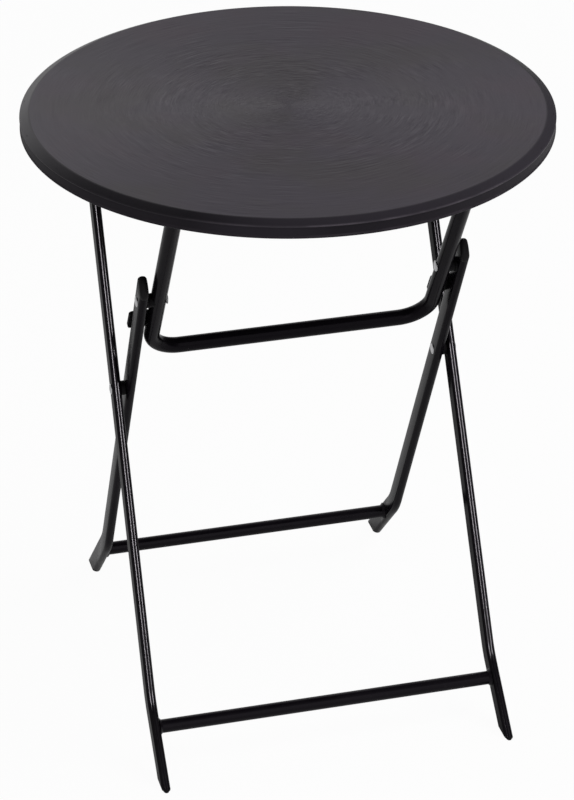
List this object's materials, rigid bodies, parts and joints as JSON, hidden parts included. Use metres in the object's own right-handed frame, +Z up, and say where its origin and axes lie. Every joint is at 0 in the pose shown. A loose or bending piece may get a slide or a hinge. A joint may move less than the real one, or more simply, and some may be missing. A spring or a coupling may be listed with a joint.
{
  "type": "folding table",
  "caption": "Round folding garden table with a plastic top that swings flat against its crossed tubular steel leg frames.",
  "frame": {"origin": "on the floor, below the middle of the open table", "axes": "+Z up, +X to the right along the crossbars, +Y from the front of the table (where the brace hinges under the top) to the back"},
  "size_m": [0.5999, 0.6, 0.737],
  "materials": {
    "hdpe_top": "fine circular grain, satin",
    "black_powder_coat": "semi-gloss black powder coat on steel",
    "black_plastic": "moulded, matte",
    "zinc_steel": "bright zinc plate"
  },
  "bodies": {
    "tabletop": {"tabletop_panel": "hdpe_top", "rear_bracket_left": "black_powder_coat", "rear_bracket_right": "black_powder_coat", "front_bracket_left": "black_powder_coat", "front_bracket_right": "black_powder_coat", "bracket_screws": "zinc_steel", "rear_hinge_rivets": "zinc_steel", "front_hinge_rivets": "black_powder_coat"},
    "outer_frame": {"outer_leg_left": "black_powder_coat", "outer_leg_right": "black_powder_coat", "outer_crossbar": "black_powder_coat", "outer_foot_plug_left": "black_plastic", "outer_foot_plug_right": "black_plastic", "outer_end_plugs": "black_plastic", "scissor_rivets": "zinc_steel", "scissor_spacers": "black_plastic"},
    "inner_frame": {"inner_leg_left": "black_powder_coat", "inner_leg_right": "black_powder_coat", "inner_crossbar": "black_powder_coat", "inner_foot_plug_left": "black_plastic", "inner_foot_plug_right": "black_plastic", "inner_top_cap_left": "black_plastic", "inner_top_cap_right": "black_plastic", "brace_rivets_outer": "zinc_steel", "brace_spacers": "black_plastic"},
    "brace": {"u_bar": "black_powder_coat", "stop_block_left": "black_plastic", "stop_block_right": "black_plastic", "stop_screws": "zinc_steel", "brace_rivets_inner": "zinc_steel", "u_bar_end_plugs": "black_plastic"}
  },
  "joints": [
    {"name": "outer_frame_hinge", "type": "hinge", "parent": "tabletop", "child": "outer_frame", "pos_m": [0, 0.16932, 0.685], "axis": [-1, 0, 0], "range_deg": [0, 62.2]},
    {"name": "scissor_pivot", "type": "hinge", "parent": "outer_frame", "child": "inner_frame", "pos_m": [0, 0.0162, 0.39459], "axis": [-1, 0, 0], "range_deg": [0, 55.66]},
    {"name": "brace_hinge", "type": "hinge", "parent": "tabletop", "child": "brace", "pos_m": [0, -0.15078, 0.685], "axis": [1, 0, 0], "range_deg": [0, 57.96]}
  ],
  "couplings": [
    {"joint": "scissor_pivot", "follows": "outer_frame_hinge", "ratio": 0.89472},
    {"joint": "brace_hinge", "follows": "outer_frame_hinge", "ratio": 0.93171}
  ]
}
